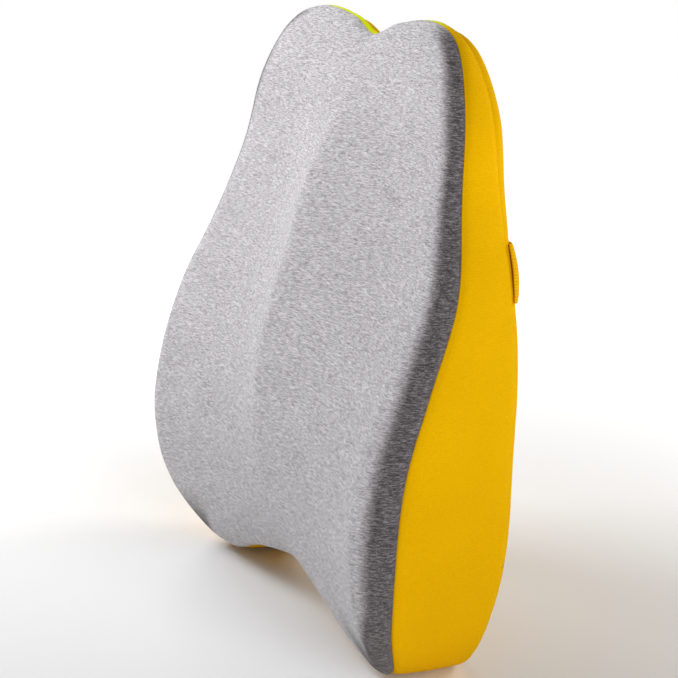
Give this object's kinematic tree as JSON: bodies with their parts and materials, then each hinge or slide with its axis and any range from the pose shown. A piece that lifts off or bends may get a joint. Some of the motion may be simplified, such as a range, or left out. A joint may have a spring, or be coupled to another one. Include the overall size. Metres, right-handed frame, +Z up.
{
  "type": "lumbar support cushion",
  "caption": "Contoured foam back cushion in a zip-off grey and yellow cover, with a clip-on elastic strap behind.",
  "frame": {"origin": "centre of the object's box on the surface it stands on", "axes": "+Z up, +X to the user's left as they lean back on it, -Y towards the user's back"},
  "size_m": [0.3798, 0.1379, 0.4742],
  "materials": {
    "foam": "open-cell moulded foam, matt",
    "grey_knit": "light grey melange jersey knit, matt",
    "yellow_fabric": "warm yellow stretch mesh fabric, matt",
    "zip_tape": "woven yellow zip tape",
    "zip_coil": "yellow nylon coil",
    "zip_metal": "dull die-cast metal",
    "strap_webbing": "yellow elastic webbing, ribbed lengthways",
    "buckle_plastic": "black moulded plastic, fine grain"
  },
  "bodies": {
    "cushion": {"foam_core": "foam", "front_panel": "grey_knit", "side_border": "yellow_fabric", "back_panel_upper": "yellow_fabric", "back_panel_lower": "yellow_fabric", "zip_tape_upper": "zip_tape", "zip_tape_lower": "zip_tape", "zip_teeth_upper": "zip_coil", "zip_teeth_lower": "zip_coil", "zip_stop_left": "zip_metal", "zip_stop_right": "zip_metal", "strap_left": "strap_webbing", "strap_right": "strap_webbing", "buckle_socket": "buckle_plastic"},
    "slider": {"zip_slider": "zip_metal"},
    "pull": {"zip_pull": "zip_metal"},
    "plug": {"buckle_plug": "buckle_plastic"},
    "prong_upper": {"buckle_prong_upper": "buckle_plastic"},
    "prong_lower": {"buckle_prong_lower": "buckle_plastic"}
  },
  "joints": [
    {"name": "zip_slide", "type": "slide", "parent": "cushion", "child": "slider", "axis": [-1, 0, 0], "range_m": [0, 0.298]},
    {"name": "pull_swing", "type": "hinge", "parent": "slider", "child": "pull", "pos_m": [0.149, 0.056, 0.097], "axis": [0, 0, -1], "range_deg": [0, 165]},
    {"name": "buckle_release", "type": "slide", "parent": "cushion", "child": "plug", "axis": [-1, 0, 0], "range_m": [0, 0.026], "deforming": ["strap_left"]},
    {"name": "prong_squeeze_upper", "type": "hinge", "parent": "plug", "child": "prong_upper", "pos_m": [-0.0142, 0.0635, 0.3256], "axis": [0, 1, 0], "range_deg": [0, 8], "stiffness_Nm_per_rad": 0.4},
    {"name": "prong_squeeze_lower", "type": "hinge", "parent": "plug", "child": "prong_lower", "pos_m": [-0.0142, 0.0635, 0.2964], "axis": [0, -1, 0], "range_deg": [0, 8], "stiffness_Nm_per_rad": 0.4}
  ]
}
